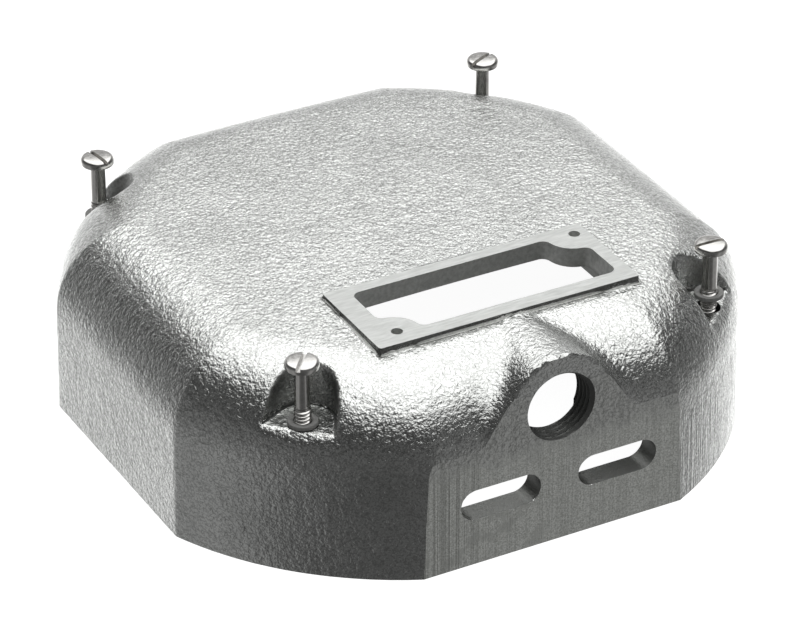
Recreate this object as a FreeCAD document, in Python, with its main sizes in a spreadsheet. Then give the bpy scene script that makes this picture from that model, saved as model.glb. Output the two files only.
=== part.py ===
import FreeCAD, Part
import math
import os
import Sketcher

# Cast cover panel with four raised corner screws and their washers.
# Millimetres, +Z up. Origin: centre of the square of screws, in the plane of the rim.

os.makedirs("parts", exist_ok=True)
doc = FreeCAD.newDocument("cover_panel")
V = FreeCAD.Vector

# Driving dimensions, in millimetres and degrees
SIZES = [
    ("screw_spacing", 126.4),
    ("flat_margin", 26.5),
    ("corner_margin", 8.02),
    ("draft_angle", 1.0),
    ("crown_height", 58.7),
    ("crown_radius", 1700.0),
    ("edge_rounding", 26.5),
    ("side_wall", 8.0),
    ("top_wall", 4.7),
    ("milling_depth", 1.2),
    ("pocket_floor", 42.4),
    ("pocket_floor_wall", 8.0),
    ("pocket_nose_radius", 8.4),
    ("pocket_nose_setback", 1.6),
    ("pocket_mouth", 24.0),
    ("pocket_wall", 5.0),
    ("screw_clearance", 1.39),
    ("column_wall", 3.8),
    ("pad_length", 80.8),
    ("pad_width", 33.0),
    ("pad_setback", 41.1),
    ("pad_rise", 0.4),
    ("pad_depth", 5.0),
    ("window_length", 69.8),
    ("window_width", 23.9),
    ("window_offset", 0.6),
    ("window_shift", 1.4),
    ("window_corner_radius", 2.5),
    ("window_boss_radius", 7.8),
    ("window_boss_inset", 0.8),
    ("window_boss_blend", 2.5),
    ("window_tap_radius", 1.65),
    ("window_tap_shift", 0.8),
    ("entry_radius", 9.9),
    ("entry_shift", 0.9),
    ("entry_drop", 16.8),
    ("entry_thread_length", 8.0),
    ("entry_face_margin", 1.6),
    ("entry_face_length", 7.0),
    ("entry_boss_wall", 6.0),
    ("entry_boss_overlap", 1.9),
    ("entry_boss_fillet", 9.0),
    ("slot_length", 24.6),
    ("slot_width", 9.4),
    ("slot_height", 18.9),
    ("slot_pitch", 36.3),
    ("slot_shift", 1.4),
    ("head_radius", 4.73),
    ("head_height", 2.4),
    ("head_rounding", 1.1),
    ("drive_slot_width", 1.25),
    ("drive_slot_depth", 1.3),
    ("screw_length", 60.0),
    ("body_length", 11.3),
    ("thread_radius", 2.41),
    ("thread_relief", 0.28),
    ("thread_end_chamfer", 0.8),
    ("washer_radius", 4.15),
    ("washer_thickness", 1.3),
    ("washer_fit", 0.06),
    ("washer_dish", 0.38),
    ("raised_washer_lift", 3.0),
    ("leaning_screw_gap", 0.3),
    ("leaning_screw_side", 42.0),
    ("head_turn_front_left", 49.5),
    ("head_turn_front_right", 177.0),
    ("head_turn_back_left", 98.0),
    ("head_turn_back_right", 26.0),
]

# Sizes that follow from the driving ones
DERIVED = [
    ("half_span", "screw_spacing / 2 + flat_margin"),
    ("corner_radius", "screw_spacing / sqrt(2) + corner_margin"),
    ("front_face", "half_span - milling_depth"),
    ("pad_centre", "front_face - pad_setback"),
    ("pad_height", "crown_height + pad_rise"),
    ("window_centre", "pad_centre - window_offset"),
    ("entry_height", "pad_height - entry_drop"),
    ("entry_face_radius", "entry_radius + entry_face_margin"),
    ("entry_boss_radius", "entry_radius + entry_boss_wall"),
    ("entry_boss_length", "pad_setback - pad_width / 2 + entry_boss_overlap"),
    ("body_radius", "thread_radius - thread_relief"),
    ("screw_hole_radius", "thread_radius + screw_clearance"),
    ("column_radius", "screw_hole_radius + column_wall"),
]

# Room that a cut or a core runs past the metal, so that no face is shared by accident
PAST = 6.0

sheet = doc.addObject("Spreadsheet::Sheet", "sizes")
cells = [(name, str(value)) for name, value in SIZES]
cells += [(name, "=" + formula) for name, formula in DERIVED]
for row, (name, content) in enumerate(cells, start=1):
    sheet.set("A%d" % row, name)
    sheet.set("B%d" % row, content)
    sheet.setAlias("B%d" % row, name)
doc.recompute()


def value_of(expression):
    result = sheet.evalExpression(expression.replace("sizes.", ""))
    return float(getattr(result, "Value", result))


def origin_plane(body, role):
    return next(item for item in body.Origin.OriginFeatures if item.Role == role)


def new_body(name):
    body = doc.addObject("PartDesign::Body", name)
    body.Label = name
    return body


def new_sketch(body, name, role, offset=None, turn=0.0):
    """A sketch on one of the body's own planes, lifted by an expression along its normal."""
    sketch = body.newObject("Sketcher::SketchObject", name)
    sketch.AttachmentSupport = [(origin_plane(body, role), "")]
    sketch.MapMode = "FlatFace"
    sketch.AttachmentOffset = FreeCAD.Placement(V(0, 0, 0), FreeCAD.Rotation(V(0, 0, 1), turn))
    if offset is not None:
        sketch.setExpression("AttachmentOffset.Base.z", offset)
    return sketch


def dimension(sketch, kind, *items):
    """Adds a driving dimension whose last item is an expression on the sheet."""
    expression = items[-1]
    index = sketch.addConstraint(Sketcher.Constraint(kind, *items[:-1], value_of(expression)))
    sketch.setExpression("Constraints[%d]" % index, expression)


def relate(sketch, kind, *items):
    sketch.addConstraint(Sketcher.Constraint(kind, *items))


def add_line(sketch, start, end):
    return sketch.addGeometry(Part.LineSegment(V(start[0], start[1], 0), V(end[0], end[1], 0)), False)


def add_arc(sketch, centre, radius, start_angle, end_angle):
    circle = Part.Circle(V(centre[0], centre[1], 0), V(0, 0, 1), radius)
    return sketch.addGeometry(Part.ArcOfCircle(circle, start_angle, end_angle), False)


def place_point(sketch, geometry, point, across, up):
    """Holds a point at two expressions from the sketch's origin; None means on that axis."""
    if across is None:
        relate(sketch, "PointOnObject", geometry, point, -2)
    else:
        dimension(sketch, "DistanceX", -1, 1, geometry, point, across)
    if up is None:
        relate(sketch, "PointOnObject", geometry, point, -1)
    else:
        dimension(sketch, "DistanceY", -1, 1, geometry, point, up)


def polygon(sketch, corners):
    """A closed outline whose corners are pairs of expressions."""
    points = [tuple(0.0 if item is None else value_of(item) for item in corner) for corner in corners]
    lines = [add_line(sketch, points[i], points[(i + 1) % len(points)]) for i in range(len(points))]
    for i, line in enumerate(lines):
        relate(sketch, "Coincident", line, 2, lines[(i + 1) % len(lines)], 1)
    for line, (across, up) in zip(lines, corners):
        place_point(sketch, line, 1, across, up)
    return lines


def circle_at(sketch, across, up, radius):
    centre = V(value_of(across) if across else 0.0, value_of(up) if up else 0.0, 0)
    index = sketch.addGeometry(Part.Circle(centre, V(0, 0, 1), value_of(radius)), False)
    place_point(sketch, index, 3, across, up)
    dimension(sketch, "Radius", index, radius)
    return index


def feature(body, kind, name, profile, **settings):
    """A PartDesign feature on a profile; text settings are expressions, others plain values."""
    item = body.newObject("PartDesign::" + kind, name)
    if profile is not None:
        item.Profile = profile
    for key, setting in settings.items():
        if isinstance(setting, str) and key in ("Length", "Angle", "TaperAngle", "Radius", "Size"):
            item.setExpression(key, setting)
        else:
            setattr(item, key, setting)
    doc.recompute()
    return item


def cutting(body, kind, name, profile, **settings):
    """A feature that has to take metal away."""
    before = body.Shape.Volume
    item = feature(body, kind, name, profile, **settings)
    if not body.Shape.Volume < before - 1e-3:
        raise ValueError(name + " cuts nothing")
    return item


def turned(body, kind, name, sketch):
    return feature(body, kind, name, sketch, ReferenceAxis=(sketch, ["V_Axis"]), Angle=360.0)


def four_corners(body, name, originals):
    pattern = body.newObject("PartDesign::PolarPattern", name)
    pattern.Originals = originals
    pattern.Axis = (originals[0].Profile[0], ["N_Axis"])
    pattern.Angle = 360
    pattern.Occurrences = 4
    body.Tip = pattern
    doc.recompute()
    return pattern


def edges_where(shape, test):
    return ["Edge%d" % (i + 1) for i, edge in enumerate(shape.Edges) if test(edge)]


# Plan outline: four flats and four large corner arcs about the centre

def plan_outline(sketch, span, radius):
    flat, corner = value_of(span), value_of(radius)
    along = math.sqrt(corner ** 2 - flat ** 2)
    swing = math.atan2(along, flat)
    chain = []
    for quarter in range(4):
        turn = quarter * math.pi / 2

        def turned_point(x, y):
            return (x * math.cos(turn) - y * math.sin(turn), x * math.sin(turn) + y * math.cos(turn))

        side = add_line(sketch, turned_point(flat, -along), turned_point(flat, along))
        arc = add_arc(sketch, (0, 0), corner, turn + swing, turn + math.pi / 2 - swing)
        chain += [side, arc]
    flats, corners = chain[::2], chain[1::2]
    for i, item in enumerate(chain):
        relate(sketch, "Coincident", item, 2, chain[(i + 1) % len(chain)], 1)
    for quarter, side in enumerate(flats):
        relate(sketch, "Vertical" if quarter % 2 == 0 else "Horizontal", side)
    dimension(sketch, "DistanceX", -1, 1, flats[0], 1, span)
    dimension(sketch, "DistanceY", -1, 1, flats[1], 1, span)
    dimension(sketch, "DistanceX", flats[2], 1, -1, 1, span)
    dimension(sketch, "DistanceY", flats[3], 1, -1, 1, span)
    for arc in corners:
        relate(sketch, "Coincident", arc, 3, -1, 1)
    dimension(sketch, "Radius", corners[0], radius)
    for arc in corners[1:]:
        relate(sketch, "Equal", corners[0], arc)


def crown_profile(sketch, height, crown, reach):
    """The region above the shallow crown, turned about the vertical axis to trim the top."""
    top, bow, far = value_of(height), value_of(crown), value_of(reach)
    edge = top - bow + math.sqrt(bow ** 2 - far ** 2)
    arc = add_arc(sketch, (0, top - bow), bow, math.acos(far / bow), math.pi / 2)
    wall = add_line(sketch, (far, edge), (far, top + 2 * PAST))
    lid = add_line(sketch, (far, top + 2 * PAST), (0, top + 2 * PAST))
    axis = add_line(sketch, (0, top + 2 * PAST), (0, top))
    relate(sketch, "Coincident", arc, 1, wall, 1)
    relate(sketch, "Coincident", wall, 2, lid, 1)
    relate(sketch, "Coincident", lid, 2, axis, 1)
    relate(sketch, "Coincident", axis, 2, arc, 2)
    relate(sketch, "PointOnObject", arc, 3, -2)
    relate(sketch, "PointOnObject", lid, 2, -2)
    relate(sketch, "Vertical", wall)
    relate(sketch, "Horizontal", lid)
    place_point(sketch, arc, 2, None, height)
    dimension(sketch, "Radius", arc, crown)
    dimension(sketch, "DistanceX", -1, 1, wall, 1, reach)
    dimension(sketch, "DistanceY", -1, 1, lid, 1, "%s + %g" % (height, 2 * PAST))


def domed_block(body, name, rounding, wall="", top=""):
    """The drafted, crowned and rounded block: the casting's outside, or the core of its inside.

    The core's wall and top are expressions such as " - sizes.side_wall", taken off the outside.
    """
    plan = new_sketch(body, name + "_plan", "XY_Plane")
    plan_outline(plan, "sizes.half_span" + wall, "sizes.corner_radius" + wall)
    height = "sizes.crown_height" + top
    feature(body, "Pad", name + "_walls", plan, Length="%s + %g" % (height, PAST),
            TaperAngle="-sizes.draft_angle")
    crown = new_sketch(body, name + "_crown_profile", "XZ_Plane")
    crown_profile(crown, height, "sizes.crown_radius" + top, "sizes.corner_radius + %g" % PAST)
    turned(body, "Groove", name + "_crown", crown)
    lowest = 0.75 * value_of(height)
    rim = edges_where(body.Shape, lambda edge: edge.BoundBox.ZMin > lowest and edge.Length > 5)
    feature(body, "Fillet", name + "_rounding", None, Base=(body.Tip, rim), Radius=rounding)


def diagonal(expression):
    return "(%s) / sqrt(2)" % expression


AXIS_REACH = diagonal("sizes.screw_spacing")
NOSE_REACH = AXIS_REACH + " - sizes.pocket_nose_setback"


def pocket_outline(sketch, nose, mouth):
    """A pocket in plan: a round nose about the screw and two walls that spread outwards."""
    centre, radius = value_of(NOSE_REACH), value_of(nose)
    far, half = value_of("sizes.corner_radius"), value_of(mouth) / 2
    reach = math.hypot(far - centre, half)
    lean = math.atan2(half, far - centre) + math.acos(radius / reach)
    touch = (centre + radius * math.cos(lean), radius * math.sin(lean))
    arc = add_arc(sketch, (centre, 0), radius, lean, 2 * math.pi - lean)
    lower = add_line(sketch, (touch[0], -touch[1]), (far, -half))
    outer = add_line(sketch, (far, -half), (far, half))
    upper = add_line(sketch, (far, half), touch)
    relate(sketch, "Tangent", arc, 2, lower, 1)
    relate(sketch, "Coincident", lower, 2, outer, 1)
    relate(sketch, "Coincident", outer, 2, upper, 1)
    relate(sketch, "Tangent", upper, 2, arc, 1)
    relate(sketch, "Symmetric", outer, 1, outer, 2, -1)
    place_point(sketch, arc, 3, NOSE_REACH, None)
    dimension(sketch, "Radius", arc, nose)
    dimension(sketch, "DistanceX", -1, 1, outer, 1, "sizes.corner_radius")
    dimension(sketch, "DistanceY", outer, 1, outer, 2, mouth)


def window_outline(sketch):
    """A rectangle with two rounded corners and two corners kept solid for the tapped bosses."""
    left, right = value_of(WINDOW_LEFT), value_of(WINDOW_RIGHT)
    low, high = value_of(WINDOW_FRONT), value_of(WINDOW_BACK)
    corner, boss = value_of("sizes.window_corner_radius"), value_of("sizes.window_boss_radius")
    inset = value_of("sizes.window_boss_inset")
    swing = math.asin(inset / boss)
    reach = boss * math.cos(swing) + inset
    front = add_line(sketch, (left + reach, low), (right - corner, low))
    front_right = add_arc(sketch, (right - corner, low + corner), corner, -math.pi / 2, 0)
    side_right = add_line(sketch, (right, low + corner), (right, high - reach))
    boss_back = add_arc(sketch, (right - inset, high - inset), boss, math.pi - swing,
                        1.5 * math.pi + swing)
    back = add_line(sketch, (right - reach, high), (left + corner, high))
    back_left = add_arc(sketch, (left + corner, high - corner), corner, math.pi / 2, math.pi)
    side_left = add_line(sketch, (left, high - corner), (left, low + reach))
    boss_front = add_arc(sketch, (left + inset, low + inset), boss, -swing, math.pi / 2 + swing)
    relate(sketch, "Tangent", front, 2, front_right, 1)
    relate(sketch, "Tangent", front_right, 2, side_right, 1)
    relate(sketch, "Coincident", side_right, 2, boss_back, 2)
    relate(sketch, "Coincident", boss_back, 1, back, 1)
    relate(sketch, "Tangent", back, 2, back_left, 1)
    relate(sketch, "Tangent", back_left, 2, side_left, 1)
    relate(sketch, "Coincident", side_left, 2, boss_front, 2)
    relate(sketch, "Coincident", boss_front, 1, front, 1)
    for line in (front, back):
        relate(sketch, "Horizontal", line)
    for line in (side_left, side_right):
        relate(sketch, "Vertical", line)
    relate(sketch, "Equal", front_right, back_left)
    relate(sketch, "Equal", boss_back, boss_front)
    dimension(sketch, "Radius", front_right, "sizes.window_corner_radius")
    dimension(sketch, "Radius", boss_back, "sizes.window_boss_radius")
    dimension(sketch, "DistanceX", -1, 1, side_right, 1, WINDOW_RIGHT)
    dimension(sketch, "DistanceX", -1, 1, side_left, 1, WINDOW_LEFT)
    dimension(sketch, "DistanceY", -1, 1, front, 1, WINDOW_FRONT)
    dimension(sketch, "DistanceY", -1, 1, back, 1, WINDOW_BACK)
    place_point(sketch, boss_back, 3, BOSS_RIGHT, BOSS_BACK)
    place_point(sketch, boss_front, 3, BOSS_LEFT, BOSS_FRONT)


WINDOW_RIGHT = "sizes.window_shift + sizes.window_length / 2"
WINDOW_LEFT = "sizes.window_shift - sizes.window_length / 2"
WINDOW_BACK = "-sizes.window_centre + sizes.window_width / 2"
WINDOW_FRONT = "-sizes.window_centre - sizes.window_width / 2"
BOSS_RIGHT = WINDOW_RIGHT + " - sizes.window_boss_inset"
BOSS_LEFT = WINDOW_LEFT + " + sizes.window_boss_inset"
BOSS_BACK = WINDOW_BACK + " - sizes.window_boss_inset"
BOSS_FRONT = WINDOW_FRONT + " + sizes.window_boss_inset"
PAD_RIGHT = "sizes.pad_length / 2"
PAD_BACK = "-sizes.pad_centre + sizes.pad_width / 2"
PAD_FRONT = "-sizes.pad_centre - sizes.pad_width / 2"


def rectangle(right, front, back):
    left = "-(%s)" % right
    return [(left, front), (right, front), (right, back), (left, back)]


def make_core():
    core = new_body("cavity_core")
    domed_block(core, "core", "sizes.edge_rounding - (sizes.side_wall + sizes.top_wall) / 2",
                " - sizes.side_wall", " - sizes.top_wall")
    facing = new_sketch(core, "entry_facing_circle", "XZ_Plane",
                        "sizes.front_face - sizes.entry_thread_length")
    circle_at(facing, "sizes.entry_shift", "sizes.entry_height", "sizes.entry_face_radius")
    feature(core, "Pad", "entry_facing", facing, Length="sizes.entry_face_length", Reversed=True)
    column = new_sketch(core, "screw_column_circle", "XY_Plane", turn=45)
    circle_at(column, AXIS_REACH, None, "sizes.column_radius")
    first = cutting(core, "Pocket", "screw_column", column, Type=1, Reversed=True)
    four_corners(core, "screw_columns", [first])
    housing = new_sketch(core, "pocket_housing_outline", "XY_Plane",
                         "sizes.pocket_floor - sizes.pocket_floor_wall", turn=45)
    pocket_outline(housing, "sizes.pocket_nose_radius + sizes.pocket_wall",
                   "sizes.pocket_mouth + 2 * sizes.pocket_wall")
    first = cutting(core, "Pocket", "pocket_housing", housing, Type=1, Reversed=True)
    four_corners(core, "pocket_housings", [first])
    return core


def boss_flank(edge):
    """True on the curves where the round entry boss runs into the domed surface behind it."""
    height, radius = value_of("sizes.entry_height"), value_of("sizes.entry_boss_radius")
    box = edge.BoundBox
    middle = edge.valueAt((edge.FirstParameter + edge.LastParameter) / 2)
    across = middle.x - value_of("sizes.entry_shift")
    on_boss = abs(math.hypot(across, middle.z - height) - radius) < 0.01
    return on_boss and box.YLength > 0.5 and box.ZLength > 0.5 and abs(across) < radius


def boss_blend_edge(edge):
    """True on the upright edges where a tapped boss meets a straight wall of the window."""
    inset, boss = value_of("sizes.window_boss_inset"), value_of("sizes.window_boss_radius")
    reach = math.sqrt(boss ** 2 - inset ** 2)
    box = edge.BoundBox
    if box.XLength > 0.01 or box.YLength > 0.01:
        return False
    for centre_x, centre_y, side in ((BOSS_RIGHT, BOSS_BACK, 1), (BOSS_LEFT, BOSS_FRONT, -1)):
        across = side * (box.XMin - value_of(centre_x))
        along = side * (box.YMin - value_of(centre_y))
        on_side = math.hypot(across - inset, along + reach) < 0.01
        on_end = math.hypot(across + reach, along - inset) < 0.01
        if on_side or on_end:
            return True
    return False


def make_cover(core):
    cover = new_body("cover_casting")
    domed_block(cover, "cover", "sizes.edge_rounding")
    mill = new_sketch(cover, "front_milling_area", "XY_Plane")
    polygon(mill, rectangle("sizes.half_span", "-sizes.half_span - %g" % PAST, "-sizes.front_face"))
    cutting(cover, "Pocket", "front_milling", mill, Type=1, Reversed=True)
    boss = new_sketch(cover, "entry_boss_circle", "XZ_Plane", "sizes.front_face")
    circle_at(boss, "sizes.entry_shift", "sizes.entry_height", "sizes.entry_boss_radius")
    feature(cover, "Pad", "entry_boss", boss, Length="sizes.entry_boss_length", Reversed=True)
    flank = edges_where(cover.Shape, boss_flank)
    feature(cover, "Fillet", "entry_boss_flank", None, Base=(cover.Tip, flank),
            Radius="sizes.entry_boss_fillet")
    pad = new_sketch(cover, "window_pad_outline", "XY_Plane", "sizes.pad_height - sizes.pad_depth")
    polygon(pad, rectangle(PAD_RIGHT, PAD_FRONT, PAD_BACK))
    feature(cover, "Pad", "window_pad", pad, Length="sizes.pad_depth")
    hollow = cover.newObject("PartDesign::Boolean", "hollow")
    hollow.Type = "Cut"
    hollow.setObjects([core])
    doc.recompute()
    well = new_sketch(cover, "screw_pocket_outline", "XY_Plane", "sizes.pocket_floor", turn=45)
    pocket_outline(well, "sizes.pocket_nose_radius", "sizes.pocket_mouth")
    pocket = cutting(cover, "Pocket", "screw_pocket", well, Type=1, Reversed=True)
    four_corners(cover, "screw_pockets", [pocket])
    bore = new_sketch(cover, "screw_hole_circle", "XY_Plane", turn=45)
    circle_at(bore, AXIS_REACH, None, "sizes.screw_hole_radius")
    hole = cutting(cover, "Pocket", "screw_hole", bore, Type=1, Reversed=True)
    four_corners(cover, "screw_holes", [hole])
    window = new_sketch(cover, "window_outline", "XY_Plane")
    window_outline(window)
    cutting(cover, "Pocket", "window", window, Type=1, Reversed=True)
    blends = edges_where(cover.Shape, boss_blend_edge)
    feature(cover, "Fillet", "window_boss_blends", None, Base=(cover.Tip, blends),
            Radius="sizes.window_boss_blend")
    taps = new_sketch(cover, "window_tap_circles", "XY_Plane")
    aside = " + sizes.window_tap_shift"
    circle_at(taps, BOSS_RIGHT + aside, BOSS_BACK, "sizes.window_tap_radius")
    circle_at(taps, BOSS_LEFT + aside, BOSS_FRONT, "sizes.window_tap_radius")
    cutting(cover, "Pocket", "window_taps", taps, Type=1, Reversed=True)
    entry = new_sketch(cover, "entry_circle", "XZ_Plane", "sizes.front_face")
    circle_at(entry, "sizes.entry_shift", "sizes.entry_height", "sizes.entry_radius")
    cutting(cover, "Pocket", "entry_hole", entry,
            Length="sizes.entry_thread_length + sizes.entry_face_length / 2")
    slots = new_sketch(cover, "slot_outlines", "XZ_Plane", "sizes.front_face")
    for side in (-1, 1):
        slot_outline(slots, side)
    cutting(cover, "Pocket", "front_slots", slots, Length="2 * sizes.side_wall")
    return cover


def slot_outline(sketch, side):
    """A level slot with round ends, left or right of the middle of the front."""
    half = (value_of("sizes.slot_length") - value_of("sizes.slot_width")) / 2
    radius, height = value_of("sizes.slot_width") / 2, value_of("sizes.slot_height")
    middle = value_of("sizes.slot_shift") + side * value_of("sizes.slot_pitch") / 2
    upper = add_line(sketch, (middle + half, height + radius), (middle - half, height + radius))
    left = add_arc(sketch, (middle - half, height), radius, math.pi / 2, 1.5 * math.pi)
    lower = add_line(sketch, (middle - half, height - radius), (middle + half, height - radius))
    right = add_arc(sketch, (middle + half, height), radius, -math.pi / 2, math.pi / 2)
    loop = [upper, left, lower, right]
    for i, item in enumerate(loop):
        relate(sketch, "Tangent", item, 2, loop[(i + 1) % 4], 1)
    half_gap = "(sizes.slot_length - sizes.slot_width) / 2"
    middle_text = "sizes.slot_shift + %g * sizes.slot_pitch / 2" % side
    place_point(sketch, left, 3, "%s - %s" % (middle_text, half_gap), "sizes.slot_height")
    place_point(sketch, right, 3, "%s + %s" % (middle_text, half_gap), "sizes.slot_height")
    dimension(sketch, "Radius", left, "sizes.slot_width / 2")


def screw_profile(sketch):
    """Half section of a slotted pan head screw, its tip on the plane of the rim."""
    length, head = "sizes.screw_length", "sizes.head_radius"
    neck = "sizes.screw_length - sizes.body_length"
    top = "sizes.screw_length + sizes.head_height"
    corners = [
        (None, None),
        ("sizes.thread_radius - sizes.thread_end_chamfer", None),
        ("sizes.thread_radius", "sizes.thread_end_chamfer"),
        ("sizes.thread_radius", neck + " - (sizes.thread_radius - sizes.body_radius)"),
        ("sizes.body_radius", neck),
        ("sizes.body_radius", length),
        (head, length),
        (head, top),
        (None, top),
    ]
    polygon(sketch, corners)


def stand_in_corner(piece, across, along, leaning):
    """Set a screw or washer at its corner's hole, the leaning ones beside the hole's axis."""
    centre = "%g * sizes.screw_spacing / 2"
    lean = " + (sizes.screw_hole_radius - sizes.thread_radius - sizes.leaning_screw_gap)"
    aside_x = lean + " * cos(sizes.leaning_screw_side * 1 deg)" if leaning else ""
    aside_y = lean + " * sin(sizes.leaning_screw_side * 1 deg)" if leaning else ""
    piece.setExpression("Placement.Base.x", centre % across + aside_x)
    piece.setExpression("Placement.Base.y", centre % along + aside_y)


def make_screw(name, across, along, turn, leaning):
    screw = new_body(name)
    section = new_sketch(screw, name + "_section", "XZ_Plane")
    screw_profile(section)
    turned(screw, "Revolution", name + "_turning", section)
    top = value_of("sizes.screw_length + sizes.head_height")
    crest = edges_where(screw.Shape, lambda edge: edge.BoundBox.ZMin > top - 1e-4
                        and edge.BoundBox.XLength > value_of("sizes.head_radius"))
    feature(screw, "Fillet", name + "_head_rounding", None, Base=(screw.Tip, crest),
            Radius="sizes.head_rounding")
    drive = new_sketch(screw, name + "_drive_outline", "XY_Plane",
                       "sizes.screw_length + sizes.head_height")
    half = "sizes.drive_slot_width / 2"
    polygon(drive, rectangle("sizes.head_radius + %g" % PAST, "-" + half, half))
    cutting(screw, "Pocket", name + "_drive_slot", drive, Length="sizes.drive_slot_depth")
    screw.Placement = FreeCAD.Placement(V(0, 0, 0), FreeCAD.Rotation(V(0, 0, 1), value_of(turn)))
    stand_in_corner(screw, across, along, leaning)
    screw.setExpression("Placement.Rotation.Angle", turn + " * 1 deg")
    return screw


def make_washer(name, across, along, lift, leaning):
    washer = new_body(name)
    section = new_sketch(washer, name + "_section", "XZ_Plane")
    inner = "sizes.thread_radius + sizes.washer_fit"
    thick = "sizes.washer_thickness"
    corners = [
        (inner, None),
        ("sizes.washer_radius", None),
        ("sizes.washer_radius", thick),
        (inner + " + sizes.washer_dish", thick),
        (inner, thick + " - sizes.washer_dish"),
    ]
    polygon(section, corners)
    turned(washer, "Revolution", name + "_turning", section)
    stand_in_corner(washer, across, along, leaning)
    washer.setExpression("Placement.Base.z", lift)
    return washer


CORNERS = [
    ("front_left", -1, -1),
    ("front_right", 1, -1),
    ("back_left", -1, 1),
    ("back_right", 1, 1),
]
LEANING_CORNER = "front_right"
ON_FLOOR = "sizes.pocket_floor"
UP_THE_THREAD = "sizes.pocket_floor + sizes.raised_washer_lift"

cavity_core = make_core()
pieces = [make_cover(cavity_core)]
for corner, across, along in CORNERS:
    leaning = corner == LEANING_CORNER
    turn = "sizes.head_turn_" + corner
    pieces.append(make_screw("screw_" + corner, across, along, turn, leaning))
    lift = UP_THE_THREAD if leaning else ON_FLOOR
    pieces.append(make_washer("washer_" + corner, across, along, lift, leaning))
doc.recompute()

for item in doc.Objects:
    if "Invalid" in item.State or "Error" in item.State:
        raise ValueError(item.Label + " failed")
for piece in pieces:
    if piece.Shape.isNull() or not piece.Shape.isValid() or len(piece.Shape.Solids) != 1:
        raise ValueError(piece.Label + " is not one valid solid")
for piece in pieces:
    piece.Shape.exportStep("parts/%s.step" % piece.Label)
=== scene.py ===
import math

import bmesh
import bpy
import numpy as np
import openvdb
from mathutils import Matrix, Vector, noise
from mathutils.bvhtree import BVHTree


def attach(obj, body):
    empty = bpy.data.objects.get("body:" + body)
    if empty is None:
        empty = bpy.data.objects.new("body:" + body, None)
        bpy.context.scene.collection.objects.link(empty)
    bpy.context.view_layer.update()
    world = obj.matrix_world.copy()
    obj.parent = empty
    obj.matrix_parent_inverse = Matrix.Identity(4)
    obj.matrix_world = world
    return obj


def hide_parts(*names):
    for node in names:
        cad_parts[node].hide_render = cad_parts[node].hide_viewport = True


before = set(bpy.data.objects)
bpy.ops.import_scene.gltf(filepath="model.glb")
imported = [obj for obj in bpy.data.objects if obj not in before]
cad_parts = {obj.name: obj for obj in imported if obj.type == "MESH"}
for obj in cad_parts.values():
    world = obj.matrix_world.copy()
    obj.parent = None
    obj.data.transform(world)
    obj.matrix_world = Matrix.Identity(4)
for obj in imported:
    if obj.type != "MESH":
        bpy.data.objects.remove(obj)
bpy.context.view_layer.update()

MM = 0.001

# Sizes of the casting, in millimetres, as in the part's source
SCREW_SPACING = 126.4
HALF_SPAN = SCREW_SPACING / 2 + 26.5
CORNER_RADIUS = SCREW_SPACING / math.sqrt(2) + 8.02
DRAFT = math.radians(1.0)
CROWN_HEIGHT = 58.7
CROWN_RADIUS = 1700.0
EDGE_ROUNDING = 26.5
FRONT_FACE = HALF_SPAN - 1.2
PAD_LENGTH, PAD_WIDTH, PAD_HEIGHT = 80.8, 33.0, CROWN_HEIGHT + 0.4
PAD_CENTRE = FRONT_FACE - 41.1
POCKET_FLOOR = 42.4
POCKET_NOSE = 8.4
POCKET_REACH = SCREW_SPACING / math.sqrt(2) - 1.6
POCKET_MOUTH = 24.0
BOSS_RADIUS = 15.9
BOSS_HEIGHT = PAD_HEIGHT - 16.8
BOSS_LENGTH = 26.5
BOSS_FILLET = 9.0
ENTRY_RADIUS, ENTRY_SHIFT = 9.9, 0.9
THREAD_PITCH = 25.4 / 14

# Sizes of the screws and washers
SCREW_LENGTH, SCREW_RADIUS, SCREW_TIP = 60.0, 2.41, 0.8
SCREW_PITCH, SCREW_THREAD_DEPTH = 25.4 / 24, 0.55
NECK, NECK_RADIUS = SCREW_LENGTH - 11.3, 2.13
HEAD_RADIUS, HEAD_HEIGHT, HEAD_ROUNDING, HEAD_CROWN = 4.73, 2.4, 1.1, 0.12
NECK_FILLET, HEAD_EDGE = 0.3, 0.25
DRIVE_WIDTH, DRIVE_DEPTH = 1.25, 1.3
WASHER_RADIUS, WASHER_THICKNESS = 4.15, 1.3
WASHER_LIFT = 3.0
WASHER_FIT, WASHER_ROUNDING = 0.06, 0.28
DISH_WIDTH, DISH_DEPTH = 0.5, 0.38
SCREW_CLEARANCE, LEANING_SCREW_GAP = 1.39, 0.3
LEAN, LEAN_SIDE = SCREW_CLEARANCE - LEANING_SCREW_GAP, math.radians(42)
LEANING_CORNER = "front_right"

# Each corner's sides in X and Y, and the turn of its screw's slot in degrees
CORNERS = [("front_left", -1, -1, 49.5), ("front_right", 1, -1, 177.0),
           ("back_left", -1, 1, 98.0), ("back_right", 1, 1, 26.0)]

# The cast skin and the grid that it is found on
SKIN_CELL, SKIN_BAND, SKIN_MARGIN = 1.0, 3.0, 4.0
GRID_LOW, SKIN_LOW = -6.0, -4.0
FACING = 2.0
EVENING_ROUNDS, EVENING_SHARE = 5, 0.6
SLOPE_STEP = 0.05
SETTLE_REACH = 2.0
CORNER_ROUNDING = 1.5
LIP_ROUNDING = 0.9
LIP_START, LIP_SLOPE = 93.0, 0.85
PAD_EDGE_ROUNDING = 0.5
SKIN_DEPTH = 0.06
SWELL_DEPTH, SWELL_LENGTH = 0.10, 19.0
GRAIN_DEPTH, GRAIN_LENGTH = 0.10, 3.1
THREAD_DEPTH, THREAD_OVERLAP = 1.1, 0.05
THREAD_START, THREAD_END = -1.0, 12.0

# The casting's materials, by their place on its mesh
CAST, MILLED, INSIDE, FACED = range(4)
PIT_COLOUR = (0.22, 0.225, 0.215)

# The mix node's sockets for vectors
VECTOR_A, VECTOR_B, VECTOR_OUT = 4, 5, 1


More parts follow.
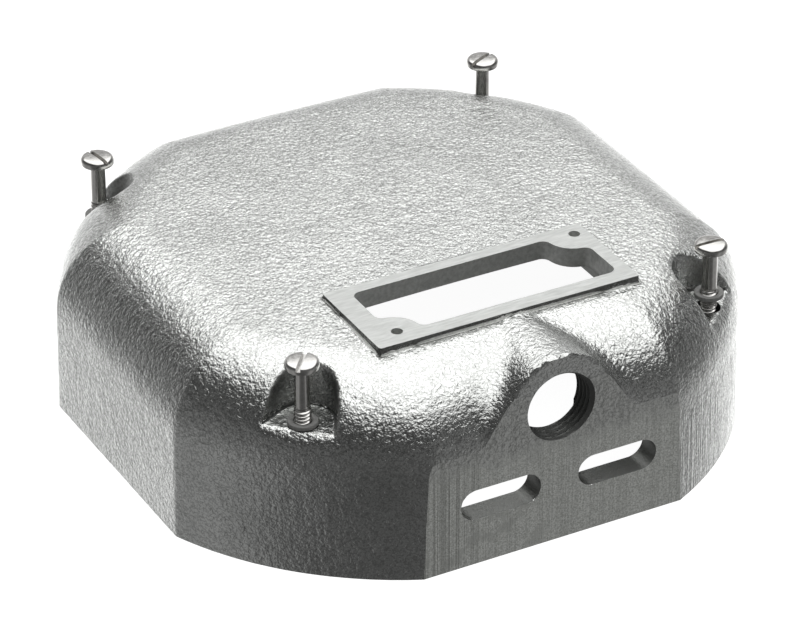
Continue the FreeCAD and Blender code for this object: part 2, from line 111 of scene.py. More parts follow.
def rounded_both(a, b, radius, lean=0.0):
    """Intersection of two solids with a rounded edge; lean is the cosine between their faces."""
    u, v = a + radius, b + radius
    between = (u > lean * v) & (v > lean * u)
    square = (u * u + v * v - 2 * u * v * lean) / (1 - lean * lean)
    return np.where(between, np.sqrt(np.maximum(square, 0)) - radius, np.maximum(a, b))


def rounded_either(a, b, radius, lean=0.0):
    """Union of two solids with a fillet between them."""
    return -rounded_both(-a, -b, radius, lean)


def dome(out, reach, x, y, z):
    """A drafted wall at this plan distance, crowned and rounded over."""
    lean = (reach - EDGE_ROUNDING) / (CROWN_RADIUS - EDGE_ROUNDING) + math.sin(DRAFT)
    wall = (out - reach + z * math.tan(DRAFT)) * math.cos(DRAFT)
    bow = z - (CROWN_HEIGHT - CROWN_RADIUS)
    crown = np.sqrt(x * x + y * y + bow * bow) - CROWN_RADIUS
    return rounded_both(wall, crown, EDGE_ROUNDING, lean)


def block(x, y, z):
    """Four flat sides cut off by round corners about the centre."""
    flats = dome(np.maximum(abs(x), abs(y)), HALF_SPAN, x, y, z)
    corners = dome(np.hypot(x, y), CORNER_RADIUS, x, y, z)
    return rounded_both(flats, corners, CORNER_ROUNDING, HALF_SPAN / CORNER_RADIUS)


def pocket(x, y, z):
    """The corner pocket, open outwards and upwards."""
    far, near = (abs(x) + abs(y)) / math.sqrt(2), abs(abs(x) - abs(y)) / math.sqrt(2)
    across = far - POCKET_REACH
    end = CORNER_RADIUS - POCKET_REACH
    half = POCKET_MOUTH / 2
    lean = math.atan2(half, end) + math.acos(POCKET_NOSE / math.hypot(end, half))
    wall = across * math.cos(lean) + near * math.sin(lean) - POCKET_NOSE
    nose = np.hypot(across, near) - POCKET_NOSE
    beyond = across * math.sin(lean) > near * math.cos(lean)
    floor = POCKET_FLOOR - LIP_SLOPE * np.maximum(far - LIP_START, 0)
    return rounded_both(np.where(beyond, wall, nose), floor - z, LIP_ROUNDING)


def pad(x, y, z):
    """The window's pad, with some metal above its face, as before machining."""
    across = abs(x) - PAD_LENGTH / 2
    along = abs(y + PAD_CENTRE) - PAD_WIDTH / 2
    return np.maximum(rounded_both(across, along, PAD_EDGE_ROUNDING), z - PAD_HEIGHT - FACING)


def boss(x, y, z):
    """The round boss behind the entry hole."""
    return np.maximum(np.hypot(x - ENTRY_SHIFT, z - BOSS_HEIGHT) - BOSS_RADIUS,
                      np.maximum(-FRONT_FACE - y, y + FRONT_FACE - BOSS_LENGTH))


def boss_lean(x, y, z):
    """Cosine between the dome's face and the boss's round side, short of 1, where they are one."""
    here = block(x, y, z)
    across = (block(x + SLOPE_STEP, y, z) - here) / SLOPE_STEP
    up = (block(x, y, z + SLOPE_STEP) - here) / SLOPE_STEP
    out = np.maximum(np.hypot(x - ENTRY_SHIFT, z - BOSS_HEIGHT), 0.1)
    lean = (across * (x - ENTRY_SHIFT) + up * (z - BOSS_HEIGHT)) / out
    return np.clip(lean, -0.9, 0.97)


def skin(p):
    """Signed distance to the outside of the casting, before any machining."""
    x, y, z = p[..., 0], p[..., 1], p[..., 2]
    body = rounded_either(block(x, y, z), boss(x, y, z), BOSS_FILLET, boss_lean(x, y, z))
    body = rounded_either(body, pad(x, y, z), PAD_EDGE_ROUNDING)
    body = rounded_both(body, -pocket(x, y, z), LIP_ROUNDING)
    return np.maximum(body, SKIN_LOW - z)


def skin_slope(p):
    """Gradient of the skin's distance at many points."""
    slope = np.empty_like(p)
    for axis in range(3):
        shift = np.zeros(3)
        shift[axis] = SLOPE_STEP
        slope[..., axis] = (skin(p + shift) - skin(p - shift)) / (2 * SLOPE_STEP)
    return slope


def onto_skin(p, rounds):
    """Moves points along the slope till they lie on the skin."""
    for _ in range(rounds):
        slope = skin_slope(p)
        p = p - (skin(p) / np.maximum((slope ** 2).sum(-1), 0.25))[:, None] * slope
    return p


def skin_grid():
    """Even quads on the skin, as points in millimetres and faces."""
    reach = HALF_SPAN + SKIN_MARGIN
    low = np.array([-reach, -reach, GRID_LOW])
    high = np.array([reach, reach, PAD_HEIGHT + FACING + SKIN_BAND])
    lines = [np.arange(a, b, SKIN_CELL) for a, b in zip(low, high)]
    p = np.stack(np.meshgrid(*lines, indexing="ij"), axis=-1)
    grid = openvdb.FloatGrid(SKIN_BAND)
    grid.copyFromArray(np.clip(skin(p), -SKIN_BAND, SKIN_BAND).astype(np.float32))
    points, quads = grid.convertToQuads(0.0)
    points = points.astype(float) * SKIN_CELL + low
    points = onto_skin(points, 3)
    edges = np.concatenate([quads[:, [i, (i + 1) % 4]] for i in range(4)])
    count = np.bincount(edges[:, 0], minlength=len(points))
    for _ in range(EVENING_ROUNDS):
        mean = np.stack([np.bincount(edges[:, 0], points[edges[:, 1], k], len(points))
                         for k in range(3)], axis=-1) / count[:, None]
        points = onto_skin(points + EVENING_SHARE * (mean - points), 1)
    return points, quads


def mesh_object(name, points, faces):
    mesh = bpy.data.meshes.new(name)
    mesh.from_pydata((np.asarray(points) * MM).tolist(), [], faces)
    mesh.update()
    thing = bpy.data.objects.new(name, mesh)
    bpy.context.collection.objects.link(thing)
    return thing


def waves(p, length, seed):
    """Smooth noise between -1 and 1 whose swells are about this long, in millimetres."""
    shift = Vector((17.3 * seed, -9.1 * seed, 5.7 * seed))
    return np.array([noise.noise(Vector(q) / length + shift) for q in p])


def between(value, low, high):
    """0 below low, 1 above high, and a smooth step between them."""
    t = np.clip((value - low) / (high - low), 0, 1)
    return t * t * (3 - 2 * t)


def wear(thing, *materials):
    thing.data.materials.clear()
    for material in materials:
        thing.data.materials.append(material)


def casting_copy(name):
    """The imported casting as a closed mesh, its faces sorted into the scene's materials."""
    thing = bpy.data.objects.new(name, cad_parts["cover_casting"].data.copy())
    bpy.context.collection.objects.link(thing)
    wear(thing, *casting_materials)
    welded = bmesh.new()
    welded.from_mesh(thing.data)
    bmesh.ops.remove_doubles(welded, verts=welded.verts, dist=1e-6)
    for face in welded.faces:
        face.material_index = INSIDE
        middle = face.calc_center_median() / MM
        if face.normal.y < -0.99 and middle.y < -FRONT_FACE + 0.1:
            face.material_index = MILLED
        if face.normal.z > 0.99 and middle.z > PAD_HEIGHT - 0.1:
            face.material_index = FACED
        if face.normal.z < -0.99 and middle.z < 0.1:
            face.material_index = FACED
    welded.to_mesh(thing.data)
    tree = BVHTree.FromBMesh(welded)
    welded.free()
    return thing, tree


def settled(points, tree):
    """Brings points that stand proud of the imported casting's skin back onto it."""
    for i, point in enumerate(points):
        spot, normal, _, _ = tree.find_nearest(Vector(point) * MM, SETTLE_REACH * MM)
        if spot is None or normal.y < -0.999 or abs(normal.z) > 0.9999:
            continue
        if (Vector(point) * MM - spot).dot(normal) > 0:
            points[i] = np.array(spot) / MM
    return points


def relief(points):
    """How deep the sand-cast skin lies below the true surface, in millimetres."""
    swell = 0.5 + 0.5 * waves(points, SWELL_LENGTH, 1)
    grain = 0.5 + 0.5 * waves(points, GRAIN_LENGTH, 2)
    return SKIN_DEPTH + SWELL_DEPTH * swell + GRAIN_DEPTH * grain


def cut(thing, other, operation):
    """Applies a Boolean with another object, which is then removed."""
    modifier = thing.modifiers.new("cut", "BOOLEAN")
    modifier.object = other
    modifier.operation = operation
    modifier.solver = "MANIFOLD"
    graph = bpy.context.evaluated_depsgraph_get()
    result = bpy.data.meshes.new_from_object(thing.evaluated_get(graph))
    thing.modifiers.clear()
    thing.data = result
    bpy.data.objects.remove(other)


def arc(centre, radius, start, end, count):
    """Points of a profile round an arc, from one angle to another in degrees."""
    angles = np.radians(np.linspace(start, end, count))
    return [(centre[0] + radius * math.cos(t), centre[1] + radius * math.sin(t)) for t in angles]


def ring_mesh(name, radius, height, closed=False):
    """A surface of rings about Z; radius and height are arrays of rings by points round."""
    rows, around = radius.shape
    angles = np.linspace(0, 2 * math.pi, around, endpoint=False)
    points = np.stack([radius * np.cos(angles), radius * np.sin(angles), height], axis=-1)
    index = np.arange(rows * around).reshape(rows, around)
    low, high = (index, np.roll(index, -1, 0)) if closed else (index[:-1], index[1:])
    side = np.stack([low, np.roll(low, -1, 1), np.roll(high, -1, 1), high], axis=-1).reshape(-1, 4)
    faces = side.tolist()
    if not closed:
        faces += [index[0][::-1].tolist(), index[-1].tolist()]
    return mesh_object(name, points.reshape(-1, 3), faces)


def thread_shape(z, angles, crest, root, pitch, flat=0.125):
    """Radius of a V thread with flat crests and roots."""
    phase = np.mod(z / pitch - angles / (2 * math.pi), 1.0)
    tooth = np.clip((np.abs(phase - 0.5) * 2 - flat) / (1 - 2 * flat), 0, 1)
    return crest - (crest - root) * tooth


def threaded_rod(name, crest, root, pitch, start, end):
    """A closed rod along Z with a V thread, in millimetres."""
    rows = int(math.ceil((end - start) / pitch * 12)) + 1
    z, a = np.meshgrid(np.linspace(start, end, rows),
                       np.linspace(0, 2 * math.pi, 96, endpoint=False), indexing="ij")
    return ring_mesh(name, thread_shape(z, a, crest, root, pitch), z)


def block_of(low, high):
    """Points and faces of a box between two corners."""
    points = [[(low, high)[i >> k & 1][k] for k in range(3)] for i in range(8)]
    faces = [[0, 2, 3, 1], [4, 5, 7, 6], [0, 1, 5, 4], [2, 6, 7, 3], [0, 4, 6, 2], [1, 3, 7, 5]]
    return points, faces


def move_mesh(thing, matrix):
    thing.data.transform(matrix)
    thing.data.update()


def crisp(thing, angle, above=-math.inf):
    """Smooth shading that stops at sharp edges and where two materials meet."""
    mesh = thing.data
    mesh.polygons.foreach_set("use_smooth", np.ones(len(mesh.polygons), dtype=bool))
    shape = bmesh.new()
    shape.from_mesh(mesh)
    for edge in shape.edges:
        faces = edge.link_faces
        if len(faces) == 2 and edge.verts[0].co.z >= above * MM:
            apart = faces[0].material_index != faces[1].material_index
            edge.smooth = not (apart or edge.calc_face_angle() > angle)
    shape.to_mesh(mesh)
    shape.free()


def make_cover():
    """The cast skin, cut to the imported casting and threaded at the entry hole."""
    points, quads = skin_grid()
    casting, tree = casting_copy("casting_copy")
    points = settled(points, tree)
    slope = skin_slope(points)
    slope /= np.linalg.norm(slope, axis=1)[:, None]
    points = points - slope * relief(points)[:, None]
    cover = mesh_object("cover_skin", points, quads.tolist())
    wear(cover, *casting_materials)
    cut(cover, casting, "INTERSECT")
    thread = threaded_rod("entry_thread", ENTRY_RADIUS - THREAD_OVERLAP,
                          ENTRY_RADIUS + THREAD_DEPTH, THREAD_PITCH, THREAD_START, THREAD_END)
    move_mesh(thread, Matrix.Translation((ENTRY_SHIFT * MM, -FRONT_FACE * MM, BOSS_HEIGHT * MM))
              @ Matrix.Rotation(-math.pi / 2, 4, "X"))
    wear(thread, *casting_materials)
    for face in thread.data.polygons:
        face.material_index = INSIDE
    cut(cover, thread, "DIFFERENCE")
    crisp(cover, math.radians(38))
    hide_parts("cover_casting")
    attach(cover, "casting")


def make_screw(corner, x, y, turn):
    """A slotted pan head screw, threaded up to its neck."""
    around = np.zeros((1, 40))
    rows = int(NECK / SCREW_PITCH * 10) + 1
    z = np.linspace(0, NECK, rows)[:, None] + around
    a = np.linspace(0, 2 * math.pi, around.size, endpoint=False)[None, :]
    radius = thread_shape(z, a, SCREW_RADIUS, SCREW_RADIUS - SCREW_THREAD_DEPTH, SCREW_PITCH)
    run_out = between(z, NECK - 2 * SCREW_PITCH, NECK)
    radius = radius + (NECK_RADIUS - radius) * run_out
    radius = np.minimum(radius, SCREW_RADIUS - SCREW_TIP + z)
    top = SCREW_LENGTH + HEAD_HEIGHT
    flat = HEAD_RADIUS - HEAD_ROUNDING
    fillet = arc((NECK_RADIUS + NECK_FILLET, SCREW_LENGTH - NECK_FILLET), NECK_FILLET, 180, 90, 3)
    edge = arc((HEAD_RADIUS - HEAD_EDGE, SCREW_LENGTH + HEAD_EDGE), HEAD_EDGE, -90, 0, 3)
    shoulder = arc((flat, top - HEAD_CROWN - HEAD_ROUNDING), HEAD_ROUNDING, 0, 80, 9)
    crown = [(r, top - HEAD_CROWN * (r / flat) ** 2) for r in (3.2, 2.6, 1.9, 1.2, 0.5)]
    profile = np.array(fillet + edge + shoulder + crown)
    radius = np.concatenate([radius, profile[:, :1] + around])
    z = np.concatenate([z, profile[:, 1:] + around])
    screw = ring_mesh("slotted_screw_" + corner, radius, z)
    reach = HEAD_RADIUS + 1
    drive = mesh_object("drive_" + corner, *block_of((-reach, -DRIVE_WIDTH / 2, top - DRIVE_DEPTH),
                                                     (reach, DRIVE_WIDTH / 2, top + 1)))
    cut(screw, drive, "DIFFERENCE")
    crisp(screw, math.radians(35), NECK)
    move_mesh(screw, Matrix.Translation((x * MM, y * MM, 0))
              @ Matrix.Rotation(math.radians(turn), 4, "Z"))
    wear(screw, screw_metal)
    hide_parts("screw_" + corner)
    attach(screw, "screw_" + corner)


def make_washer(corner, x, y, z):
    """A thick washer with rounded edges, dished at its bore."""
    bore, top = SCREW_RADIUS + WASHER_FIT, WASHER_THICKNESS
    edge = WASHER_RADIUS - WASHER_ROUNDING
    lower = arc((edge, WASHER_ROUNDING), WASHER_ROUNDING, -90, 0, 5)
    upper = arc((edge, top - WASHER_ROUNDING), WASHER_ROUNDING, 0, 90, 5)
    dish = [(bore + DISH_WIDTH, top), (bore + DISH_DEPTH, top - 0.02), (bore, top - DISH_DEPTH),
            (bore, 0)]
    profile = np.array(lower + upper + dish)
    around = np.zeros((1, 72))
    washer = ring_mesh("washer_ring_" + corner, profile[:, :1] + around, profile[:, 1:] + around,
                       closed=True)
    crisp(washer, math.radians(40))
    move_mesh(washer, Matrix.Translation((x * MM, y * MM, z * MM)))
    wear(washer, washer_fibre)
    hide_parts("washer_" + corner)
    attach(washer, "casting")


def principled(name, **settings):
    material = bpy.data.materials.new(name)
    material.use_nodes = True
    shader = material.node_tree.nodes["Principled BSDF"]
    for key, value in settings.items():
        shader.inputs[key.replace("_", " ")].default_value = value
    return material, material.node_tree, shader


def texture(tree, scale, detail=2.0, rough=0.5, stretch=(1, 1, 1)):
    """Noise in object coordinates, in features per millimetre."""
    place = tree.nodes.new("ShaderNodeTexCoord")
    mapping = tree.nodes.new("ShaderNodeMapping")
    mapping.inputs["Scale"].default_value = [scale * 1000 * k for k in stretch]
    tree.links.new(place.outputs["Object"], mapping.inputs["Vector"])
    texture_node = tree.nodes.new("ShaderNodeTexNoise")
    texture_node.inputs["Scale"].default_value = 1.0
    texture_node.inputs["Detail"].default_value = detail
    texture_node.inputs["Roughness"].default_value = rough
    tree.links.new(mapping.outputs["Vector"], texture_node.inputs["Vector"])
    return texture_node.outputs["Fac"]


def bump(tree, height, distance, under=None):
    """Relief of this height in millimetres, on top of another one's normal."""
    node = tree.nodes.new("ShaderNodeBump")
    node.inputs["Distance"].default_value = distance * MM
    tree.links.new(height, node.inputs["Height"])
    if under is not None:
        tree.links.new(under, node.inputs["Normal"])
    return node.outputs["Normal"]


def ramp(tree, source, stops):
    """Grey levels or colours by the source's value."""
    node = tree.nodes.new("ShaderNodeValToRGB")
    for item, (place, level) in zip(node.color_ramp.elements, stops):
        item.position = place
        item.color = (level, level, level, 1) if isinstance(level, float) else (*level, 1)
    tree.links.new(source, node.inputs["Fac"])
    return node.outputs["Color"]


def math_node(tree, operation, a, b=None):
    node = tree.nodes.new("ShaderNodeMath")
    node.operation = operation
    for socket, value in zip(node.inputs, (a, b)):
        if isinstance(value, bpy.types.NodeSocket):
            tree.links.new(value, socket)
        elif value is not None:
            socket.default_value = value
    return node.outputs[0]


def dot_node(tree, vector, direction):
    node = tree.nodes.new("ShaderNodeVectorMath")
    node.operation = "DOT_PRODUCT"
    tree.links.new(vector, node.inputs[0])
    node.inputs[1].default_value = direction
    return node.outputs["Value"]


def step_node(tree, value, low, high):
    """0 at low and 1 at high, which may be the lower of the two."""
    node = tree.nodes.new("ShaderNodeMapRange")
    node.interpolation_type = "SMOOTHSTEP"
    node.inputs["From Min"].default_value = low
    node.inputs["From Max"].default_value = high
    tree.links.new(value, node.inputs["Value"])
    return node.outputs["Result"]


def mix_node(tree, share, a, b):
    """Level a where share is 0 and b where it is 1."""
    node = tree.nodes.new("ShaderNodeMapRange")
    for name, value in (("Value", share), ("To Min", a), ("To Max", b)):
        if isinstance(value, bpy.types.NodeSocket):
            tree.links.new(value, node.inputs[name])
        else:
            node.inputs[name].default_value = value
    return node.outputs["Result"]


def creases(tree, source, width):
    """1 on most of the surface, with narrow valleys where the noise crosses its middle."""
    off = math_node(tree, "ABSOLUTE", math_node(tree, "SUBTRACT", source, 0.5))
    return step_node(tree, off, 0.0, width)


def object_place(tree, direction):
    """Distance from the origin along a direction, in millimetres."""
    place = tree.nodes.new("ShaderNodeTexCoord").outputs["Object"]
    return dot_node(tree, place, [1000 * k for k in direction])


def product(tree, first, *others):
    """All the values multiplied together."""
    for other in others:
        first = math_node(tree, "MULTIPLY", first, other)
    return first


def tinted(tree, share, colour, dark):
    """The colour, or the dark one where share is 1."""
    node = tree.nodes.new("ShaderNodeMixRGB")
    tree.links.new(share, node.inputs[0])
    tree.links.new(colour, node.inputs[1])
    node.inputs[2].default_value = (*dark, 1)
    return node.outputs[0]


def cast_grain(tree):
    """The sand-cast texture: a bumped normal, its grain, and its darker pits and creases."""
    wave = texture(tree, 0.28, 1.0, 0.4)
    leather = creases(tree, texture(tree, 0.62, 1.0, 0.45), 0.06)
    grain = texture(tree, 0.78, 1.5, 0.5)
    fine = texture(tree, 1.7, 1.5, 0.55)
    normal = bump(tree, wave, 0.12)
    normal = bump(tree, leather, 0.03, normal)
    normal = bump(tree, grain, 0.26, normal)
    normal = bump(tree, fine, 0.10, normal)
    pits = math_node(tree, "MAXIMUM", step_node(tree, fine, 0.50, 0.36),
                     math_node(tree, "SUBTRACT", 1.0, leather))
    return normal, grain, math_node(tree, "MULTIPLY", pits, 0.45)


def make_cast_metal():
    """The sand-cast skin, with marks of the cutter, and painted shade round the base of the pad and
    in the pockets.
    """
    material, tree, shader = principled("cast_skin", Metallic=1.0)
    normal, grain, pits = cast_grain(tree)
    across, along, height = (object_place(tree, axis) for axis in ((1, 0, 0), (0, -1, 0), (0, 0, 1)))

    # The cutter's upright marks, low on the corner to the right of the front
    ragged = math_node(tree, "ADD", height, math_node(tree, "MULTIPLY", texture(tree, 0.2), 10.0))
    milled = product(tree, step_node(tree, across, 36.0, 40.0), step_node(tree, along, 40.0, 60.0),
                     step_node(tree, ragged, 35.0, 29.0))
    marks = texture(tree, 1.3, 1.0, 0.5, (1.0, 1.0, 0.007))
    normal = bump(tree, product(tree, marks, milled), 0.42, normal)
    tree.links.new(normal, shader.inputs["Normal"])
    patches = texture(tree, 0.05, 4.0, 0.6)
    colour = ramp(tree, patches, [(0.35, (0.60, 0.61, 0.595)), (0.65, (0.70, 0.71, 0.695))])
    colour = tinted(tree, pits, colour, PIT_COLOUR)

    # Painted shade: a dark line round the base of the pad
    beside = math_node(tree, "ABSOLUTE", across)
    behind = math_node(tree, "ABSOLUTE", math_node(tree, "SUBTRACT", along, PAD_CENTRE))
    pad_foot_shade = product(tree, step_node(tree, beside, PAD_LENGTH / 2 + 0.7, PAD_LENGTH / 2 + 0.3),
                   step_node(tree, behind, PAD_WIDTH / 2 + 0.7, PAD_WIDTH / 2 + 0.3),
                   step_node(tree, height, 50.0, 51.0))

    # The smooth walls of the pockets: rougher metal, and painted shade that darkens their colour
    aside = math_node(tree, "SUBTRACT", beside, SCREW_SPACING / 2)
    ahead = math_node(tree, "SUBTRACT", math_node(tree, "ABSOLUTE", along), SCREW_SPACING / 2)
    apart = math_node(tree, "SQRT", math_node(tree, "ADD", math_node(tree, "MULTIPLY", aside, aside),
                                              math_node(tree, "MULTIPLY", ahead, ahead)))
    pocket_shade_and_roughness = product(tree, step_node(tree, apart, 10.5, 8.5), step_node(tree, height, 43.0, 45.0))
    # Painted shade: the colour is darkened at the base of the pad and in the pockets
    painted_shade = math_node(tree, "MAXIMUM", math_node(tree, "MULTIPLY", pad_foot_shade, 0.62),
                     math_node(tree, "MULTIPLY", pocket_shade_and_roughness, 0.82))
    colour = tinted(tree, painted_shade, colour, (0.10, 0.10, 0.095))
    tree.links.new(colour, shader.inputs["Base Color"])
    rough = ramp(tree, grain, [(0.3, 0.17), (0.7, 0.26)])
    rough = tinted(tree, pocket_shade_and_roughness, rough, (0.42, 0.42, 0.42))
    tree.links.new(rough, shader.inputs["Roughness"])
    return material


def make_milled_metal():
    """Fine upright milling marks low down; above, the cutter left some of the cast skin."""
    material, tree, shader = principled("milled_front", Metallic=1.0)
    height = object_place(tree, (0, 0, 1))
    left = object_place(tree, (-1, 0, 0))
    rough, _, pits = cast_grain(tree)
    blotch = texture(tree, 0.16, 3.0, 0.6)
    ragged = math_node(tree, "ADD", height, math_node(tree, "MULTIPLY", blotch, 14.0))
    skin_left = step_node(tree, ragged, 34.0, 42.0)
    marks = texture(tree, 1.7, 1.0, 0.5, (1.0, 1.0, 0.005))
    deep = product(tree, step_node(tree, left, 18.0, 34.0), step_node(tree, ragged, 42.0, 34.0))
    marked = product(tree, marks, mix_node(tree, deep, 0.45, 1.0))
    speckle = texture(tree, 2.2, 1.0, 0.5)
    smooth = bump(tree, marked, 0.16)
    smooth = bump(tree, speckle, 0.05, smooth)
    blend = tree.nodes.new("ShaderNodeMix")
    blend.data_type = "VECTOR"
    tree.links.new(skin_left, blend.inputs["Factor"])
    tree.links.new(smooth, blend.inputs[VECTOR_A])
    tree.links.new(rough, blend.inputs[VECTOR_B])
    tree.links.new(blend.outputs[VECTOR_OUT], shader.inputs["Normal"])
    stain = product(tree, step_node(tree, blotch, 0.50, 0.64), step_node(tree, left, -4.0, 12.0),
                    step_node(tree, height, 20.0, 12.0), step_node(tree, speckle, 0.42, 0.56), 0.45)
    lines = product(tree, step_node(tree, marks, 0.54, 0.40), mix_node(tree, deep, 0.14, 0.38))
    colour = ramp(tree, speckle, [(0.3, (0.56, 0.575, 0.54)), (0.7, (0.93, 0.945, 0.91))])
    colour = tinted(tree, skin_left, colour, (0.66, 0.67, 0.65))
    colour = tinted(tree, product(tree, skin_left, pits), colour, PIT_COLOUR)
    colour = tinted(tree, math_node(tree, "MAXIMUM", stain, lines), colour, (0.24, 0.245, 0.23))
    tree.links.new(colour, shader.inputs["Base Color"])
    tree.links.new(mix_node(tree, skin_left, 0.40, 0.30), shader.inputs["Roughness"])
    return material


def make_inside_metal():
    """Painted shade: darker below the window's level inside the cover, darkest about the entry's
    thread; lighter at the window.
    """
    material, tree, shader = principled("cast_inside", Metallic=1.0, Roughness=0.5)
    fine = texture(tree, 0.9, 3.0, 0.55)
    tree.links.new(bump(tree, fine, 0.12), shader.inputs["Normal"])
    colour = ramp(tree, fine, [(0.3, (0.66, 0.67, 0.65)), (0.7, (0.88, 0.89, 0.87))])
    height = object_place(tree, (0, 0, 1))
    # Painted shade: the inside is darkened in colour below the window, and most round the thread
    low = step_node(tree, height, 54.0, 51.0)
    colour = tinted(tree, math_node(tree, "MULTIPLY", low, 0.8), colour, (0.24, 0.245, 0.235))
    entry = product(tree, low, step_node(tree, height, 26.0, 31.0), 0.6)
    colour = tinted(tree, entry, colour, (0.06, 0.062, 0.06))
    tree.links.new(colour, shader.inputs["Base Color"])
    return material


def make_faced_metal():
    """The cut face of the window's pad and of the rim."""
    material, tree, shader = principled("faced_metal", Metallic=1.0, Roughness=0.4)
    fine = texture(tree, 1.5, 3.0, 0.55, (0.15, 1.0, 1.0))
    tree.links.new(bump(tree, fine, 0.06), shader.inputs["Normal"])
    tree.links.new(ramp(tree, fine, [(0.3, (0.48, 0.49, 0.475)), (0.7, (0.62, 0.63, 0.615))]),
                   shader.inputs["Base Color"])
    return material


def make_screw_metal():
    material, tree, shader = principled("nickel_plate", Metallic=1.0)
    fine = texture(tree, 0.7, 3.0, 0.55)
    tree.links.new(bump(tree, fine, 0.02), shader.inputs["Normal"])
    tree.links.new(ramp(tree, fine, [(0.3, 0.12), (0.7, 0.24)]), shader.inputs["Roughness"])
    tree.links.new(ramp(tree, fine, [(0.3, (0.58, 0.57, 0.55)), (0.7, (0.68, 0.67, 0.65))]),
                   shader.inputs["Base Color"])
    return material


def make_washer_fibre():
    material, tree, shader = principled("washer_fibre", Metallic=0.0, Roughness=0.6)
    fine = texture(tree, 2.0, 3.0, 0.6)
    tree.links.new(bump(tree, fine, 0.06), shader.inputs["Normal"])
    tree.links.new(ramp(tree, fine, [(0.3, (0.17, 0.17, 0.165)), (0.7, (0.26, 0.26, 0.25))]),
                   shader.inputs["Base Color"])
    return material


cast_metal = make_cast_metal()
milled_metal = make_milled_metal()
inside_metal = make_inside_metal()
faced_metal = make_faced_metal()
screw_metal = make_screw_metal()
washer_fibre = make_washer_fibre()
casting_materials = (cast_metal, milled_metal, inside_metal, faced_metal)

make_cover()

for corner, across, along, turn in CORNERS:
    x, y, z = across * SCREW_SPACING / 2, along * SCREW_SPACING / 2, POCKET_FLOOR
    if corner == LEANING_CORNER:
        x, y = x + LEAN * math.cos(LEAN_SIDE), y + LEAN * math.sin(LEAN_SIDE)
        z += WASHER_LIFT
    make_screw(corner, x, y, turn)
    make_washer(corner, x, y, z)


def aim(thing, target, roll=0.0):
    direction = Vector(target) - thing.location
    thing.rotation_mode = "QUATERNION"
    thing.rotation_quaternion = (direction.to_track_quat("-Z", "Y")
                                 @ Matrix.Rotation(roll, 3, "Z").to_quaternion())


def add_camera():
    """The photograph's view: azimuth -28.3, elevation 31.0 degrees, 1.18 m away."""
    data = bpy.data.cameras.new("camera")
    thing = bpy.data.objects.new("camera", data)
    bpy.context.collection.objects.link(thing)
    data.sensor_width = 36.0
    data.lens = 188.473
    data.shift_x, data.shift_y = 0.02725, 0.00096
    data.clip_start, data.clip_end = 0.05, 20
    thing.location = (-0.48969, -0.89755, 0.63735)
    aim(thing, (-0.010753, -0.008169, 0.030), math.radians(-0.183))
    bpy.context.scene.camera = thing


def level_round(tree, vector, levels):
    """Light by compass direction: -1 in levels is away from the photographer, 1 is towards."""
    flat = tree.nodes.new("ShaderNodeVectorMath")
    flat.operation = "MULTIPLY"
    flat.inputs[1].default_value = (1, 1, 0)
    tree.links.new(vector, flat.inputs[0])
    unit = tree.nodes.new("ShaderNodeVectorMath")
    unit.operation = "NORMALIZE"
    tree.links.new(flat.outputs[0], unit.inputs[0])
    towards = dot_node(tree, unit.outputs[0], DARK_SIDE)
    share = math_node(tree, "MULTIPLY_ADD", towards, 0.5)
    share.node.inputs[2].default_value = 0.5
    curve = tree.nodes.new("ShaderNodeFloatCurve")
    points = curve.mapping.curves[0].points
    curve.mapping.extend = "HORIZONTAL"
    curve.mapping.use_clip = False
    places = [(0.5 + 0.5 * t, level) for t, level in levels]
    while len(points) < len(places):
        points.new(0.5, 0.5)
    for point, place in zip(points, places):
        point.location = place
        point.handle_type = "VECTOR"
    curve.mapping.update()
    tree.links.new(share, curve.inputs["Value"])
    return curve.outputs["Value"]


# How bright the studio is, by direction; DARK_SIDE points at the photographer
DARK_SIDE = (-0.45, -0.89, 0.0)
TABLE_LEVELS = [(-1.0, 2.0), (-0.87, 1.5), (-0.66, 0.86), (-0.57, 0.64), (-0.45, 0.48),
                (-0.19, 0.36), (0.19, 0.27), (0.57, 0.33), (0.72, 0.2), (0.82, 0.12), (1.0, 0.09)]
WALL_LEVELS = [(-1.0, 1.0), (-0.88, 0.9), (-0.64, 0.38), (-0.376, 0.16), (0.4, 0.17),
               (0.62, 0.2), (0.81, 0.13), (1.0, 0.12)]
SOFTBOX_EDGES = [((1, 0, 0), -0.85, -0.28), ((-1, 0, 0), -1.4, -1.0),
                 ((0, 1, 0), -1.70, -0.30), ((0, -1, 0), -1.57, -1.33)]
SOFTBOX_LEVEL = 1.85
PAPER_LEVEL = 0.95
SHADE_RADIUS, SHADE_LEVEL = 84.0, 0.25


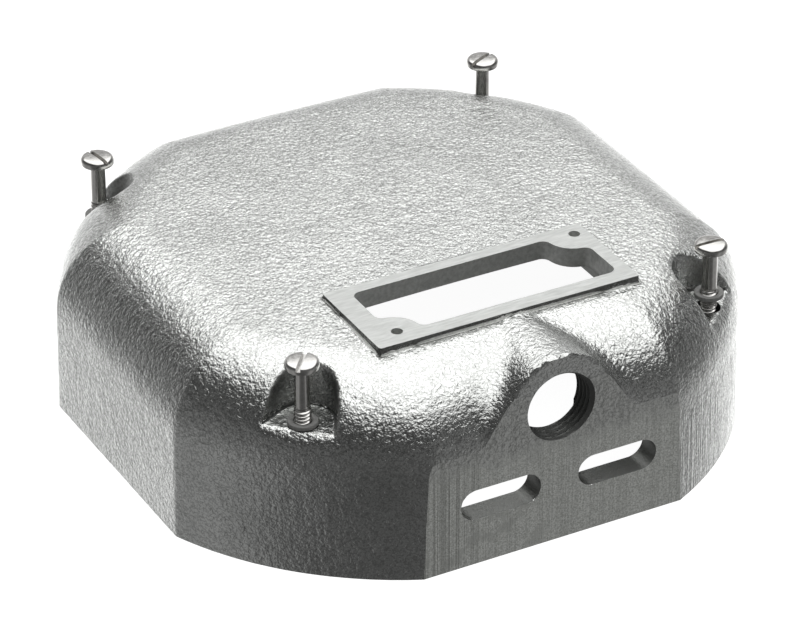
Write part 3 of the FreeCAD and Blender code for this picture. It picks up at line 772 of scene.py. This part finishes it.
def add_studio():
    """A large overhead softbox, a white wall behind, and a dark room round the photographer."""
    world = bpy.data.worlds.new("studio")
    bpy.context.scene.world = world
    world.use_nodes = True
    tree = world.node_tree
    direction = tree.nodes.new("ShaderNodeTexCoord").outputs["Generated"]
    height = dot_node(tree, direction, (0, 0, 1))
    over = math_node(tree, "MAXIMUM", height, 0.05)
    softbox = step_node(tree, height, 0.05, 0.15)
    for edge, low, high in SOFTBOX_EDGES:
        reach = math_node(tree, "DIVIDE", dot_node(tree, direction, edge), over)
        softbox = math_node(tree, "MULTIPLY", softbox, step_node(tree, reach, low, high))
    walls = math_node(tree, "MULTIPLY", level_round(tree, direction, WALL_LEVELS),
                      mix_node(tree, step_node(tree, height, 0.05, 0.30), 1.0, 0.45))
    table = level_round(tree, direction, TABLE_LEVELS)
    low = mix_node(tree, step_node(tree, height, -0.40, -0.18), table, walls)
    room = mix_node(tree, softbox, low, SOFTBOX_LEVEL)
    path = tree.nodes.new("ShaderNodeLightPath")
    level = mix_node(tree, path.outputs["Is Camera Ray"], room, 1.0)
    tree.links.new(level, tree.nodes["Background"].inputs["Strength"])
    tree.nodes["Background"].inputs["Color"].default_value = (1, 1, 1, 1)


def add_floor():
    """White paper that shows the object's soft shadow; the metal mirrors the room instead."""
    bpy.ops.mesh.primitive_plane_add(size=6, location=(0, 0, 0))
    floor = bpy.context.object
    floor.name = "floor"
    material, tree, shader = principled("floor_paper", Roughness=0.9, Base_Color=(0.3, 0.3, 0.3, 1))
    shader.inputs["Specular IOR Level"].default_value = 0.0
    path = tree.nodes.new("ShaderNodeLightPath")
    shader.inputs["Emission Color"].default_value = (1, 1, 1, 1)
    tree.links.new(math_node(tree, "MULTIPLY", path.outputs["Is Camera Ray"], PAPER_LEVEL),
                   shader.inputs["Emission Strength"])
    floor.data.materials.append(material)
    floor.visible_glossy = False


def add_shade():
    """The dark under the cover, as the metal inside reflects it."""
    heights = np.array([[0.0], [0.02]]) + np.zeros((1, 48))
    shade = ring_mesh("shade", np.full(heights.shape, SHADE_RADIUS), heights)
    material, _, shader = principled("shade_card", Roughness=1.0, Base_Color=(0, 0, 0, 1),
                                     Emission_Color=(1, 1, 1, 1), Emission_Strength=SHADE_LEVEL)
    shader.inputs["Specular IOR Level"].default_value = 0.0
    shade.data.materials.append(material)
    shade.visible_camera = shade.visible_diffuse = shade.visible_shadow = False


add_camera()
add_studio()
add_floor()
add_shade()

bpy.context.scene.view_settings.view_transform = "Standard"
